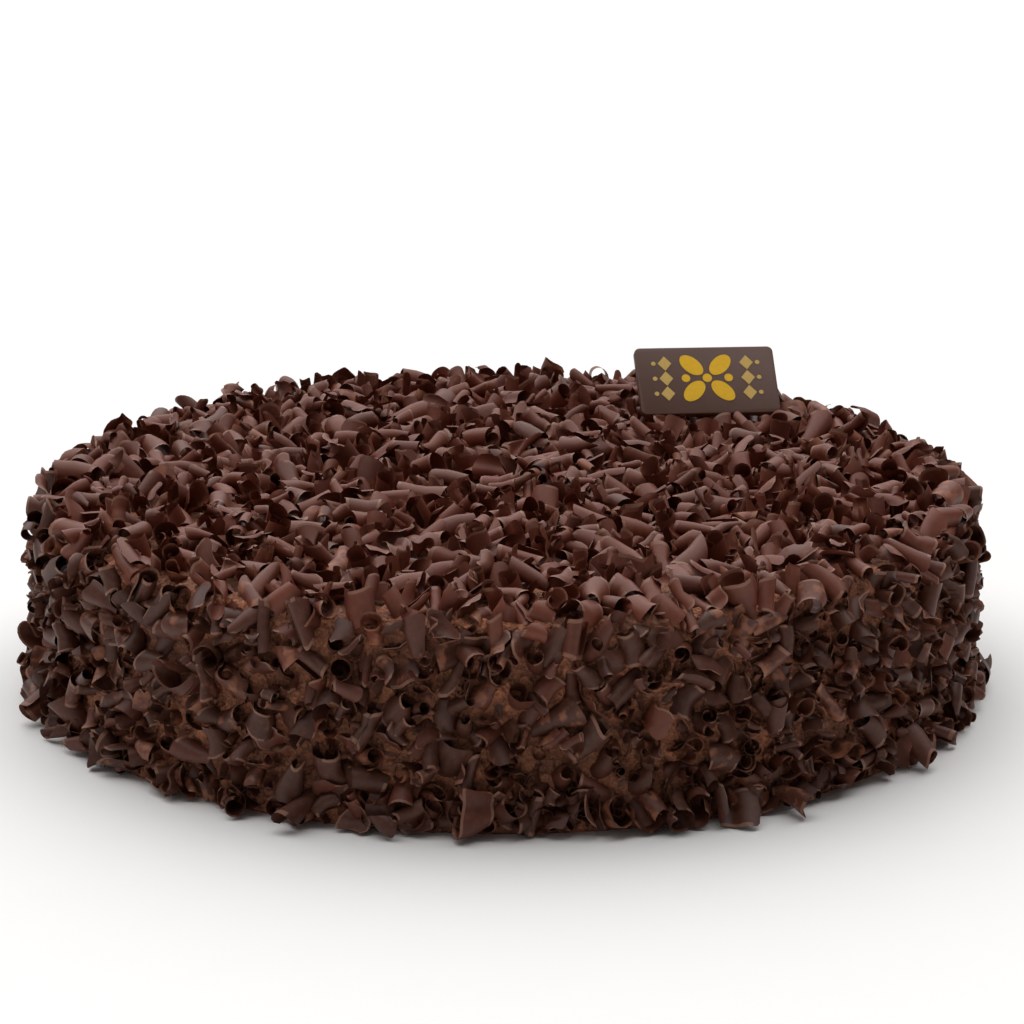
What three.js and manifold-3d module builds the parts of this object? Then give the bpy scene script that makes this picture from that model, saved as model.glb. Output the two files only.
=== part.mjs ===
// A round chocolate gateau, 24 cm across. Dark chocolate curls cover its top and side, and a small
// chocolate plaque leans among them near the back edge.
//
// Units are millimetres and +Z is up. The front of the cake faces -Y, and the origin is the middle
// of its flat underside.

import * as THREE from 'three';
import { mergeVertices } from 'three/addons/utils/BufferGeometryUtils.js';
import Module from 'manifold-3d';

const wasm = await Module();
wasm.setup();

const DEGREE = Math.PI / 180;
const UP = new THREE.Vector3(0, 0, 1);

// Body: the cake under its cream, out to the bed of small curls pressed into the cream
const BODY_RADIUS = 116.5;
const BODY_HEIGHT = 50;
const SHOULDER_RADIUS = 8; // rounded edge between top and side
const FOOT_SPREAD = 1.2; // how far the foot of the side stands out past its top
const BED_RELIEF = 0.7; // unevenness of the bed of curls, each way
const SECTORS = 48; // facets round the body
const TOP_RINGS = 4;
const SHOULDER_STEPS = 3;
const SIDE_RINGS = 3;

// Large curls, which stand out of the bed
const CURL_COUNT = 184;
const CURL_WALL = 0.8; // thickness of the shaved chocolate
const TOP_SINK = 1.2; // how deep a curl is pressed into the bed on the flat top
const SIDE_SINK = 1.9; // and on the upright side
const SHOULDER_SINK = 1.0; // extra depth where the bed bends away under a curl
const TURN_SCATTER = 5 * DEGREE; // how far round the cake a curl may lie from its even place
const RANK_SCATTER = 4; // and how many places nearer to the middle or further out
const TOP_TILT = 14 * DEGREE; // steepest tilt of a curl on the top
const SIDE_TILT = 10 * DEGREE;
const FOOT_CLEARANCE = 0.4; // lowest point of any curl above the underside
const GOLDEN_ANGLE = Math.PI * (3 - Math.sqrt(5));

// The ways in which chocolate curls off the blade. `sweep` is how far the strip is rolled up,
// `steps` its facets, and `taper` how much narrower its far end is.
const CURL_KINDS = [
  { sweep: 290 * DEGREE, steps: 4, radius: [2.4, 3.2], length: [8, 11], taper: [0, 0.3] }, // roll
  { sweep: 250 * DEGREE, steps: 4, radius: [2.9, 3.8], length: [8, 11], taper: [0.4, 0.7] }, // cone
  { sweep: 150 * DEGREE, steps: 2, radius: [3.0, 4.0], length: [7, 10], taper: [0, 0.5] }, // tile
  { sweep: 62 * DEGREE, steps: 2, radius: [5.5, 7.5], length: [6, 9], taper: [0.1, 0.6] }, // flake
];
const KIND_ORDER = [0, 2, 1, 0, 3, 2, 0, 3, 1, 0, 2, 3];

// Plaque: a thin chocolate plate with rounded corners, leaning back on a few curls
const PLAQUE_WIDTH = 38.4;
const PLAQUE_HEIGHT = 20.5;
const PLAQUE_THICKNESS = 2;
const PLAQUE_CORNER = 1.6;
const PLAQUE_BEVEL = 0.3;
const PLAQUE_FOOT = new THREE.Vector3(55.7, 61.4, 53.9); // middle of its lower edge
const PLAQUE_YAW = 10.6 * DEGREE;
const PLAQUE_LEAN = 42 * DEGREE; // leaning back from upright
const PLAQUE_ROLL = -1.7 * DEGREE; // turned in its own plane
const PLAQUE_GAP = 0.35; // clearance between it and the curls that carry it
const CURL_FREE_REACH = 8; // no other large curl lies nearer to the foot of the plaque

// Curls that carry the plaque: two lie under its foot and two prop it from behind. Their middles
// and axes are measured from the middle of the foot, with X along it, Y back and Z up.
const PLAQUE_BACK = new THREE.Vector3(0, Math.cos(PLAQUE_LEAN), -Math.sin(PLAQUE_LEAN));
const CARRIERS = [
  { middle: new THREE.Vector3(-12, 0.9, -2.9), along: new THREE.Vector3(0.3, 1, 0), length: 8, radius: 2.2 },
  { middle: new THREE.Vector3(4, 0.9, -2.9), along: new THREE.Vector3(-0.35, 1, 0), length: 9, radius: 2.2 },
  { middle: new THREE.Vector3(-8, 8.55, -0.96), along: PLAQUE_BACK, length: 12, radius: 2.6 },
  { middle: new THREE.Vector3(9, 8.55, -0.96), along: PLAQUE_BACK, length: 12, radius: 2.6 },
];

/** An irregular number from 0 to 1, the same each time for one `index` and one `use`. */
function draw(index, use) {
  const wave = Math.sin(index * 12.9898 + use * 78.233) * 43758.5453;
  return wave - Math.floor(wave);
}

function between([low, high], part) {
  return low + (high - low) * part;
}

/** Geometry with shared vertices and no collapsed triangles, holding positions only. */
function weld(geometry) {
  const bare = geometry.clone();
  bare.deleteAttribute('normal');
  bare.deleteAttribute('uv');
  const welded = mergeVertices(bare, 1e-4);
  const corners = welded.index.array;
  const kept = [];
  for (let i = 0; i < corners.length; i += 3) {
    const [a, b, c] = [corners[i], corners[i + 1], corners[i + 2]];
    if (a !== b && b !== c && c !== a) kept.push(a, b, c);
  }
  welded.setIndex(kept);
  return welded;
}

function toSolid(welded) {
  return new wasm.Manifold(new wasm.Mesh({
    numProp: 3,
    vertProperties: new Float32Array(welded.attributes.position.array),
    triVerts: new Uint32Array(welded.index.array),
  }));
}

function toGeometry(solid) {
  const mesh = solid.getMesh();
  const geometry = new THREE.BufferGeometry();
  geometry.setAttribute('position', new THREE.BufferAttribute(mesh.vertProperties, 3));
  geometry.setIndex(new THREE.BufferAttribute(mesh.triVerts, 1));
  geometry.computeVertexNormals();
  return geometry;
}

/** Radius of the side at a height, widening a little towards the foot. */
function sideRadius(height) {
  const sideHeight = BODY_HEIGHT - SHOULDER_RADIUS;
  return BODY_RADIUS + FOOT_SPREAD * (1 - height / sideHeight);
}

/** The body turned about +Z, with its top and side made uneven and its underside left flat. */
function bodyGeometry() {
  const flatRadius = BODY_RADIUS - SHOULDER_RADIUS;
  const sideHeight = BODY_HEIGHT - SHOULDER_RADIUS;
  const profile = [new THREE.Vector2(0, 0)];
  for (let k = 0; k < SIDE_RINGS; k += 1) {
    const height = (sideHeight * k) / SIDE_RINGS;
    profile.push(new THREE.Vector2(sideRadius(height), height));
  }
  for (let k = 0; k <= SHOULDER_STEPS; k += 1) {
    const rise = (Math.PI / 2) * (k / SHOULDER_STEPS);
    profile.push(new THREE.Vector2(
      flatRadius + SHOULDER_RADIUS * Math.cos(rise),
      sideHeight + SHOULDER_RADIUS * Math.sin(rise),
    ));
  }
  for (let k = TOP_RINGS - 1; k >= 0; k -= 1) {
    profile.push(new THREE.Vector2((flatRadius * k) / TOP_RINGS, BODY_HEIGHT));
  }
  const body = weld(new THREE.LatheGeometry(profile, SECTORS).rotateX(Math.PI / 2));

  const points = body.attributes.position;
  const point = new THREE.Vector3();
  for (let i = 0; i < points.count; i += 1) {
    point.fromBufferAttribute(points, i);
    const radius = Math.hypot(point.x, point.y);
    if (radius > 0 && point.z > BED_RELIEF) {
      const grown = 1 + ((draw(i, 1) * 2 - 1) * BED_RELIEF) / Math.max(radius, flatRadius);
      points.setXYZ(i, point.x * grown, point.y * grown, point.z + (draw(i, 2) * 2 - 1) * BED_RELIEF);
    }
  }
  return body;
}

/**
 * The place on the body that has `share` of the curled surface between it and the middle of the
 * top: its point, the directions straight out of the cake and round it, and how far the surface
 * there has turned from level to upright.
 */
function placeOnBody(share, angle) {
  const flatRadius = BODY_RADIUS - SHOULDER_RADIUS;
  const sideHeight = BODY_HEIGHT - SHOULDER_RADIUS;
  // Areas for one radian round the axis
  const topArea = flatRadius ** 2 / 2;
  const shoulderArea = SHOULDER_RADIUS * (flatRadius * (Math.PI / 2) + SHOULDER_RADIUS);
  const sideArea = BODY_RADIUS * sideHeight;
  const area = share * (topArea + shoulderArea + sideArea);

  let radius = Math.sqrt(2 * area);
  let height = BODY_HEIGHT;
  let slope = 0;
  if (area > topArea + shoulderArea) {
    height = sideHeight * (1 - (area - topArea - shoulderArea) / sideArea);
    radius = sideRadius(height);
    slope = Math.PI / 2;
  } else if (area > topArea) {
    slope = ((area - topArea) / shoulderArea) * (Math.PI / 2);
    radius = flatRadius + SHOULDER_RADIUS * Math.sin(slope);
    height = sideHeight + SHOULDER_RADIUS * Math.cos(slope);
  }
  const round = new THREE.Vector3(Math.cos(angle), Math.sin(angle), 0);
  return {
    slope,
    point: round.clone().multiplyScalar(radius).setZ(height),
    outward: round.clone().multiplyScalar(Math.sin(slope)).setZ(Math.cos(slope)),
    around: new THREE.Vector3(-round.y, round.x, 0),
  };
}

/**
 * A curl lying along Z with its lowest line on the plane X = 0, where +X is out of the cake.
 * Its strip is an arc of the given sweep, with the opening turned by `turn`.
 */
function curlGeometry({ sweep, steps, radius, length, taper, turn }) {
  const outer = [];
  const inner = [];
  for (let k = 0; k <= steps; k += 1) {
    const angle = turn + sweep * (k / steps - 0.5);
    outer.push(new THREE.Vector2(radius * Math.cos(angle), radius * Math.sin(angle)));
    inner.unshift(outer[k].clone().multiplyScalar((radius - CURL_WALL) / radius));
  }
  const outline = [...outer, ...inner];
  const lowest = Math.min(...outline.map((corner) => corner.x));
  const section = new THREE.Shape(outline.map((corner) => corner.setX(corner.x - lowest)));
  const curl = weld(new THREE.ExtrudeGeometry(section, { depth: length, bevelEnabled: false }));

  const points = curl.attributes.position;
  for (let i = 0; i < points.count; i += 1) {
    const along = points.getZ(i) / length;
    const narrowed = 1 - taper * along;
    points.setXYZ(i, points.getX(i) * narrowed, points.getY(i) * narrowed, (along - 0.5) * length);
  }
  return curl;
}

/** Large curl number `index`, in its place on the body. */
function placedCurl(index) {
  const kind = CURL_KINDS[KIND_ORDER[index % KIND_ORDER.length]];
  const length = between(kind.length, draw(index, 3));
  const rank = index + 0.5 + (draw(index, 9) - 0.5) * RANK_SCATTER;
  const bearing = index * GOLDEN_ANGLE + (draw(index, 10) - 0.5) * TURN_SCATTER;
  const place = placeOnBody(THREE.MathUtils.clamp(rank / CURL_COUNT, 0, 1), bearing);
  const upright = 1 - Math.cos(place.slope);
  const tilt = between([TOP_TILT, SIDE_TILT], upright) * draw(index, 5);
  const bend = Math.sin(2 * place.slope);
  const sink = between([TOP_SINK, SIDE_SINK], upright) + SHOULDER_SINK * bend;
  const flat = kind.sweep < Math.PI;
  const curl = curlGeometry({
    sweep: kind.sweep,
    steps: kind.steps,
    radius: between(kind.radius, draw(index, 6)),
    length,
    taper: between(kind.taper, draw(index, 7)),
    turn: flat ? (draw(index, 8) - 0.5) * 50 * DEGREE : draw(index, 8) * 2 * Math.PI,
  });

  // Its low end stays as deep in the bed as a curl that lies flat
  curl.rotateY(tilt);
  curl.translate((length / 2) * Math.sin(tilt) - sink, 0, 0);

  const across = new THREE.Vector3().crossVectors(place.outward, place.around);
  const heading = draw(index, 11) * 2 * Math.PI;
  const along = place.around.clone().multiplyScalar(Math.cos(heading));
  along.addScaledVector(across, Math.sin(heading));
  const beside = new THREE.Vector3().crossVectors(along, place.outward);
  const pose = new THREE.Matrix4().makeBasis(place.outward, beside, along);
  curl.applyMatrix4(pose.setPosition(place.point));

  curl.computeBoundingBox();
  const drop = FOOT_CLEARANCE - curl.boundingBox.min.z;
  if (drop > 0) curl.translate(0, 0, drop);
  return curl;
}

/** How far a geometry's middle lies from the foot line of the plaque, seen from above. */
function reachFromPlaque(geometry) {
  geometry.computeBoundingBox();
  const middle = geometry.boundingBox.getCenter(new THREE.Vector3());
  const half = new THREE.Vector3(PLAQUE_WIDTH / 2, 0, 0).applyAxisAngle(UP, PLAQUE_YAW);
  const foot = PLAQUE_FOOT.clone().setZ(middle.z);
  const line = new THREE.Line3(foot.clone().sub(half), foot.clone().add(half));
  return line.closestPointToPoint(middle, true, new THREE.Vector3()).distanceTo(middle);
}

/** A rolled curl that carries the plaque, measured from the foot of the plaque. */
function carrierCurl({ middle, along, length, radius }) {
  const { sweep, steps } = CURL_KINDS[0];
  const curl = curlGeometry({ sweep, steps, radius, length, taper: 0, turn: 0 });
  curl.translate(-radius, 0, 0);
  const axis = along.clone().normalize();
  const beside = new THREE.Vector3().crossVectors(axis, UP).normalize();
  const outward = new THREE.Vector3().crossVectors(beside, axis);
  const pose = new THREE.Matrix4().makeBasis(outward, beside, axis);
  return curl.applyMatrix4(pose.setPosition(middle));
}

/** A plate with rounded corners, its lower edge on Y = 0 and its thickness centred on Z = 0. */
function plateGeometry(grow) {
  const x = PLAQUE_WIDTH / 2 - PLAQUE_BEVEL + grow;
  const low = PLAQUE_BEVEL - grow;
  const high = PLAQUE_HEIGHT - PLAQUE_BEVEL + grow;
  const corner = PLAQUE_CORNER - PLAQUE_BEVEL + grow;
  const outline = new THREE.Shape();
  outline.absarc(x - corner, high - corner, corner, 0, Math.PI / 2);
  outline.absarc(-x + corner, high - corner, corner, Math.PI / 2, Math.PI);
  outline.absarc(-x + corner, low + corner, corner, Math.PI, 1.5 * Math.PI);
  outline.absarc(x - corner, low + corner, corner, 1.5 * Math.PI, 2 * Math.PI);
  const depth = PLAQUE_THICKNESS - 2 * PLAQUE_BEVEL + 2 * grow;
  return new THREE.ExtrudeGeometry(outline, {
    depth,
    bevelThickness: PLAQUE_BEVEL,
    bevelSize: PLAQUE_BEVEL,
    bevelSegments: 1,
    curveSegments: 3,
  }).translate(0, 0, -depth / 2);
}

const curlChocolate = new THREE.MeshStandardMaterial({ color: 0x45291f, roughness: 0.55, metalness: 0 });
const plaqueChocolate = new THREE.MeshStandardMaterial({ color: 0x5a443b, roughness: 0.4, metalness: 0 });

// The plaque is turned by its yaw where its foot is, and leans back in its own group
const plaque = new THREE.Mesh(plateGeometry(0), plaqueChocolate);
plaque.name = 'plaque';
plaque.rotation.set(Math.PI / 2 - PLAQUE_LEAN, 0, PLAQUE_ROLL);
const plaqueStand = new THREE.Group();
plaqueStand.position.copy(PLAQUE_FOOT);
plaqueStand.rotation.z = PLAQUE_YAW;
plaqueStand.add(plaque);
plaqueStand.updateMatrixWorld(true);

let cakeSolid = toSolid(bodyGeometry());
for (let index = 0; index < CURL_COUNT; index += 1) {
  const curl = placedCurl(index);
  if (reachFromPlaque(curl) > CURL_FREE_REACH) cakeSolid = cakeSolid.add(toSolid(curl));
}
for (const carrier of CARRIERS) {
  cakeSolid = cakeSolid.add(toSolid(carrierCurl(carrier).applyMatrix4(plaqueStand.matrixWorld)));
}
const slot = plateGeometry(PLAQUE_GAP).applyMatrix4(plaque.matrixWorld);
cakeSolid = cakeSolid.subtract(toSolid(weld(slot)));
// Only the outer body is kept: hollows sealed under a curl are filled, and loose scraps go
const [outerBody] = cakeSolid.decompose().sort((a, b) => b.volume() - a.volume());
const cake = new THREE.Mesh(toGeometry(outerBody), curlChocolate);
cake.name = 'cake';

const gateau = new THREE.Group();
gateau.add(cake, plaqueStand);

export default gateau;
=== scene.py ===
"""A round chocolate gateau: cocoa cream under dark chocolate curls, and a small printed plaque.

The script is laid out as an add-on and is run as a script. Lengths inside the functions are
millimetres, and a mesh is turned to metres when it is made. The front of the cake faces -Y.
"""

import math
from functools import partial
from typing import NamedTuple

import bmesh
import bpy
import numpy as np
from bpy.props import FloatProperty, FloatVectorProperty, IntProperty, PointerProperty
from mathutils import Matrix, Vector, noise


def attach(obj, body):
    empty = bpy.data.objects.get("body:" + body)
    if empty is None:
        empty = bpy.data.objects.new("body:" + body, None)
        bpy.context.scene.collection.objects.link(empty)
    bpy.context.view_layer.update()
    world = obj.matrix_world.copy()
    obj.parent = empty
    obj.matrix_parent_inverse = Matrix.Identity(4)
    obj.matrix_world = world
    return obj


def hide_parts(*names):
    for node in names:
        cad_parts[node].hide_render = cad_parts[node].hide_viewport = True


bl_info = {
    "name": "Chocolate curl gateau",
    "version": (1, 0, 0),
    "blender": (4, 5, 0),
    "location": "3D View > Sidebar > Gateau",
    "description": "Makes the cream, curls, crumbs, plaque and stage of a chocolate gateau",
    "category": "Add Mesh",
}

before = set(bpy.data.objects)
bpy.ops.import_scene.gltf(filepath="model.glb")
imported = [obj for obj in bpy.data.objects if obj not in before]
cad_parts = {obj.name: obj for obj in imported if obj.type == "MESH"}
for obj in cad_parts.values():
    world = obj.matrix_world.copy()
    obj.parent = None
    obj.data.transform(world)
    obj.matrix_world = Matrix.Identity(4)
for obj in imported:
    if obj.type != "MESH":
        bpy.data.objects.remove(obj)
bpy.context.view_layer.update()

MM = 0.001
QUARTER_TURN = math.pi / 2
FULL_TURN = 2 * math.pi
GOLDEN_ANGLE = math.pi * (3 - math.sqrt(5))


class Turned(NamedTuple):
    """A round cake surface with a rounded shoulder, in millimetres."""

    radius: float
    height: float
    shoulder: float
    spread: float  # how far the foot of the side stands out past its top

    @property
    def flat(self):
        """Radius of the flat top."""
        return self.radius - self.shoulder

    @property
    def ledge(self):
        """Height of the side."""
        return self.height - self.shoulder

    @property
    def areas(self):
        """Areas of the top, the shoulder and the side, for one radian round the axis."""
        shoulder = self.shoulder * (self.flat * QUARTER_TURN + self.shoulder)
        return self.flat**2 / 2, shoulder, self.radius * self.ledge


class Kind(NamedTuple):
    """One way in which a shaving of chocolate rolls up behind the blade."""

    name: str
    bends: tuple  # from its outer edge in: degrees turned, first and last radius; or 0 and a length
    creep: float  # how far it may creep along its own roll
    point: float  # how much narrower it may be at one end than at the other
    radius: tuple
    length: tuple
    taper: tuple  # how much narrower the far end of the roll is
    around: int  # faces round the roll
    along: int  # and along it
    share: float  # of the small curls


# The bed under the large curls, and the rule that spreads them, as in the CAD solid
BED = Turned(116.5, 50.0, 8.0, 1.2)
LARGE_COUNT = 184
LARGE_SINK = (1.2, 1.9)  # on the top and on the side
LARGE_SHOULDER_SINK = 1.0
LARGE_BEARING_SCATTER = math.radians(5)
LARGE_RANK_SCATTER = 4
LARGE_TILT = (math.radians(14), math.radians(10))
LARGE_FLAT_TURN = math.radians(50)  # range of a tile's or flake's turn about its own axis
LARGE_ORDER = "roll tile cone roll flake tile roll flake cone roll tile flake".split()
LARGE = {  # radius, length and taper, from least to most
    "roll": ((2.4, 3.2), (8, 11), (0, 0.3)),
    "cone": ((2.9, 3.8), (8, 11), (0.4, 0.7)),
    "tile": ((3.0, 4.0), (7, 10), (0, 0.5)),
    "flake": ((5.5, 7.5), (6, 9), (0.1, 0.6)),
}
CLEAR_OF_PLAQUE = 8  # no large curl's middle lies nearer to the foot of the plaque
# Curls that carry the plaque, two under it and two behind it: middle, from that of the plaque's
# foot, axis (None for straight off the plaque's back), length and radius
CARRIERS = (
    ((-12, 0.9, -2.9), (0.3, 1, 0), 8, 2.2),
    ((4, 0.9, -2.9), (-0.35, 1, 0), 9, 2.2),
    ((-8, 8.55, -0.96), None, 12, 2.6),
    ((9, 8.55, -0.96), None, 12, 2.6),
)
CARRIER_SPARE = 1.2  # off a curl behind the plate, so that its torn end stays off it

# Seeded numbers: how they are scrambled, and the number of each use
SCRAMBLE = (12.9898, 78.233, 43758.5453)
DRAW_LENGTH, DRAW_TILT, DRAW_RADIUS, DRAW_TAPER, DRAW_TURN = 3, 5, 6, 7, 8
DRAW_RANK, DRAW_BEARING, DRAW_HEADING = 9, 10, 11
DRAW_SHAPE = 31  # the first of a torn shape's

ROLL = ((500, 3.1, 1.2),)
LOOSE = ((160, 3.6, 3.0), (260, 2.6, 0.9))
CONE = ((340, 3.2, 1.9),)
SCROLL = ((0, 3.2), (310, 2.6, 1.3))
WAVE = ((-95, 3.4, 2.6), (250, 2.2, 1.5))
TILE = ((45, 4.2, 3.0), (60, 2.1, 2.1), (45, 3.0, 4.2))
FLAKE = ((18, 4.6, 3.0), (26, 1.7, 1.7), (18, 3.0, 4.6))
KINDS = (
    Kind("roll", ROLL, 1.5, 0.45, (1.5, 2.3), (5.5, 9.5), (0.0, 0.4), 18, 2, 0.18),
    Kind("loose", LOOSE, 2.0, 0.55, (2.0, 2.9), (5.0, 8.0), (0.0, 0.4), 18, 2, 0.18),
    Kind("cone", CONE, 4.0, 0.65, (2.0, 3.1), (6.0, 9.5), (0.3, 0.75), 13, 3, 0.21),
    Kind("scroll", SCROLL, 2.5, 0.75, (2.0, 2.8), (5.0, 8.5), (0.1, 0.5), 15, 2, 0.17),
    Kind("wave", WAVE, 2.5, 0.75, (2.0, 2.8), (5.0, 8.5), (0.0, 0.5), 15, 2, 0.17),
    Kind("tile", TILE, 1.5, 0.6, (2.4, 3.4), (5.0, 8.0), (0.0, 0.6), 8, 3, 0.05),
    Kind("flake", FLAKE, 1.5, 0.7, (4.0, 5.5), (5.0, 7.5), (0.1, 0.6), 6, 3, 0.04),
)
FLAT_KINDS = ("tile", "flake")
VARIANTS = 9  # differently torn shapes of each kind
SHAPE_RADIUS = 3.0
SHAPE_LENGTH = 10.0

# How a strip is torn off the block and how its roll flares, in millimetres on the shape's size
BEND_STEPS = 40
BEND_SCATTER = (0.82, 1.15)
INNER_POINT_CHANCE = 0.4  # that the strip's inner end is the narrower one
POINT_SCATTER, POINT_CURVE = (0.2, 1.0), 1.4
CORNER_LOSS, CORNER_CURVE = 0.35, 6
OFF_MIDDLE, SLANT = (-0.5, 0.5), (-2.5, 2.5)
PHASE = 6.3
# Height of a ripple, and its radians from one end to the other
COARSE_TEAR, FINE_TEAR = (0.6, 7), (0.2, 17)
WAIST_ALONG, WAIST_AROUND = (0.08, 5), (0.05, 11)
FLARE = 0.28
BOW_OUT, BOW_ASIDE = (-1.1, 0.8), (-0.9, 0.9)
MIDDLE_ROWS = 11  # of points on the shape's middle surface
MIDDLE_COLUMNS = 3  # for each face round the roll

# How the small curls lie, in millimetres and radians
FOOT_CLEARANCE = 0.4
SMALL_FOOT_CLEARANCE = 0.9
FLOOR_GAP = 0.1
PLATE_CLEARANCE = 0.5
PLATE_FOOT_MARGIN = 1
COAT_MARGIN = 2
COAT_TOP_SINK, COAT_SIDE_SINK = 0.5, 2.4
STEEP = 0.5  # upward part of the outward direction, below which a place is on the side
HUMP_SCATTER = 0.6
HUMP_DOWN_CHANCE = 0.35
END_PART = 0.3  # share of a curl's points that counts as its end
ARM = 0.6  # from the middle of one end to that of the other, as a share of the length
FLAT_LEAN = 0.6  # of tiles and flakes, as a share of that of the others
STANDING_TILT = (0.75, 1.4)
STEEPEST_TILT = 1.4
STANDING_PRESS = 3  # a standing curl is pressed in by its length over this
UNDER_PART = 0.4  # share of a curl's points that counts as its underside
REST_PART = 0.75  # share of the underside that isn't pressed in
LIMIT_SLACK = 0.3
RIM_BAND = (-0.012, 0.065)  # shares of the curled surface, from the end of the flat top
TOP_END = -0.008
SIDE_START = 0.055
FOOT_START = 0.96
FINE_PART = 3  # one finer curl is tried for so many usual ones
SHARP_EDGE = math.radians(42)

# Looks of single curls, from 0 to 1
# Mean tone of a curl: low on the side as painted shade, high on the top as painted light
SHADED_SIDE_LIT_TOP_TONE = (0.12, 0.9)  # on the side and on the top
TONE_SCATTER = 0.2
SIDE_SMEARED, TOP_SMEARED = 0.26, 0.12  # shares of the curls with cream left on them
SMEAR = (0.46, 0.58)

CRUMB_SHARES = (0, 0.985)  # of the surface, where crumbs start and end
CRUMB_TILT, CRUMB_DENT = 0.5, 0.3
CRUMB_SIZE = ((0.35, 0.8), (0.7, 2.0), (1.0, 3.2))
CRUMB_CEILING = 2.0  # no crumb where the curls stand higher
CRUMB_FLOOR, CRUMB_RISE = -0.3, 0.1
# A crumb gets half of the painted edge highlight
CRUMB_TONE, CRUMB_EDGE_HIGHLIGHT = (0.2, 1), 0.5

# The cream's rings and its rough surface
UNDERSIDE_RINGS = (0.0, 0.5, 0.9)  # as shares of the flat top's radius
SIDE_RINGS, SHOULDER_RINGS, TOP_RINGS = 48, 9, 26
TOP_RING_CURVE = 0.8
UNDERSIDE = 1e-3  # the flat underside has no vertex above this height
KNIFE_MARK, KNIFE_PART = 14, 0.4  # length in millimetres, and share of the relief
FOAM_CRUMB, FOAM_PART = 4.2, 1.1  # pulled crumbs of foam come out 2 to 4 mm wide
FOAM_OCTAVES, FOAM_MEAN = 3, 0.7
CREAM_FOOT = 0.3


class Spot(NamedTuple):
    """One spot of the print, in millimetres."""

    reach: float  # from the middle of the print
    radii: tuple
    corners: int


PRINT_MIDDLE = Vector((0, 10.9))
PETAL = Spot(5.6, (3.8, 2.3), 20)
HEART = Spot(0, (1.3, 1.3), 16)
BERRY = Spot(5.9, (1.2, 1.2), 12)
LOZENGE = Spot(11.3, (1.9, 2.2), 4)
DOT = Spot(14.4, (0.65, 0.65), 12)
PRINT_ROW = 4.6
PRINT_DEPTH = 0.05  # into the plate
PRINT_THICKNESS = 0.16

TABLE_REACH = 30.0  # metres
SURROUND = ((1.0, 0.98, 0.96, 1), 0.1)  # colour and strength
# Name, strength, width and turns in degrees. A very wide sun lights the whole table evenly, and a
# weak one from left of the camera opens the shadows between the curls.
SUNS = (("ceiling", 3.3, 100, (-24, -6, 0)), ("fill", 0.15, 60, (72, 0, -30)))
ORBIT_HEIGHT = 0.027
CAMERA_PITCH, CAMERA_YAW = math.radians(15.534), math.radians(0.115)


def srgb(hex_code):
    """Linear colour from an sRGB hex code."""
    parts = [int(hex_code[i : i + 2], 16) / 255 for i in (0, 2, 4)]
    return tuple(c / 12.92 if c <= 0.04045 else ((c + 0.055) / 1.055) ** 2.4 for c in parts)


def between(pair, part):
    return pair[0] + (pair[1] - pair[0]) * part


def turning(angle):
    """Matrix that turns rows of two coordinates."""
    cosine, sine = math.cos(angle), math.sin(angle)
    return np.array([[cosine, sine], [-sine, cosine]])


def level_way(outward, around, heading):
    """A direction along the surface, turned by the heading from the one round the cake."""
    return around * math.cos(heading) + np.cross(outward, around) * math.sin(heading)


# ------ sizes and colours


def length(name, description, metres):
    return FloatProperty(name=name, description=description, default=metres, unit="LENGTH")


def turn(name, description, degrees):
    default = math.radians(degrees)
    return FloatProperty(name=name, description=description, default=default, unit="ROTATION")


def paint(name, description, code):
    default = srgb(code)
    return FloatVectorProperty(name=name, description=description, default=default, subtype="COLOR")


def count(name, description, default):
    return IntProperty(name=name, description=description, default=default)


class CreamSettings(bpy.types.PropertyGroup):
    radius: length("Radius", "Radius of the cream coat", 0.115)
    height: length("Height", "Height of the cream coat", 0.0492)
    shoulder: length("Shoulder", "Radius of the rounded top edge", 0.0018)
    spread: length("Foot spread", "How far the foot stands out", 0.0012)
    relief: length("Relief", "Depth of the rough spreading marks", 0.002)
    colour: paint("Colour", "Cocoa cream", "9F6448")


class CurlSettings(bpy.types.PropertyGroup):
    wall: length("Wall", "Thickness of the shaved chocolate", 0.00066)
    top_count: count("On top", "Small curls tried on the top", 1150)
    rim_count: count("On the rim", "Small curls tried along the edge between top and side", 395)
    side_count: count("On the side", "Small curls tried on the side", 1150)
    foot_count: count("At the foot", "Small curls tried along the foot of the side", 290)
    crumb_count: count("Crumbs", "Places tried for broken bits on bare cream", 1600)
    seed: count("Seed", "Which random lie of the curls", 7)
    colour: paint("Colour", "Dark chocolate", "723A29")
    # Curls on the side lean towards this dark colour as painted shade
    dark: paint("Dark", "The darkest shavings", "48261B")
    # Pale colour painted on the broken edges as a highlight, for the light that their rims catch
    cut: paint("Cut edge", "Freshly broken edges", "8E6452")


class PlaqueSettings(bpy.types.PropertyGroup):
    width: length("Width", "Width of the plate", 0.0384)
    height: length("Height", "Height of the plate", 0.0205)
    thickness: length("Thickness", "Thickness of the plate", 0.002)
    corner: length("Corner", "Corner radius", 0.0016)
    foot: FloatVectorProperty(
        name="Foot", description="Middle of the lower edge", default=(0.0557, 0.0614, 0.0539),
        subtype="TRANSLATION", unit="LENGTH",
    )
    yaw: turn("Yaw", "Turn about the vertical", 10.6)
    lean: turn("Lean", "Lean back from upright", 42)
    roll: turn("Roll", "Turn in its own plane", -1.7)
    colour: paint("Colour", "Moulded chocolate", "5C382A")
    yellow: paint("Yellow", "Bold part of the print", "FFC602")
    gold: paint("Pale gold", "Fine part of the print", "DFB962")


class StageSettings(bpy.types.PropertyGroup):
    floor: paint("Floor", "Pale table top", "FBFAF9")
    distance: length("Camera distance", "From a point low in the cake", 0.968)
    elevation: turn("Camera elevation", "Above level", 16.5)
    lens: FloatProperty(name="Lens", description="Focal length in millimetres", default=133.07)


# ------ materials

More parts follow.
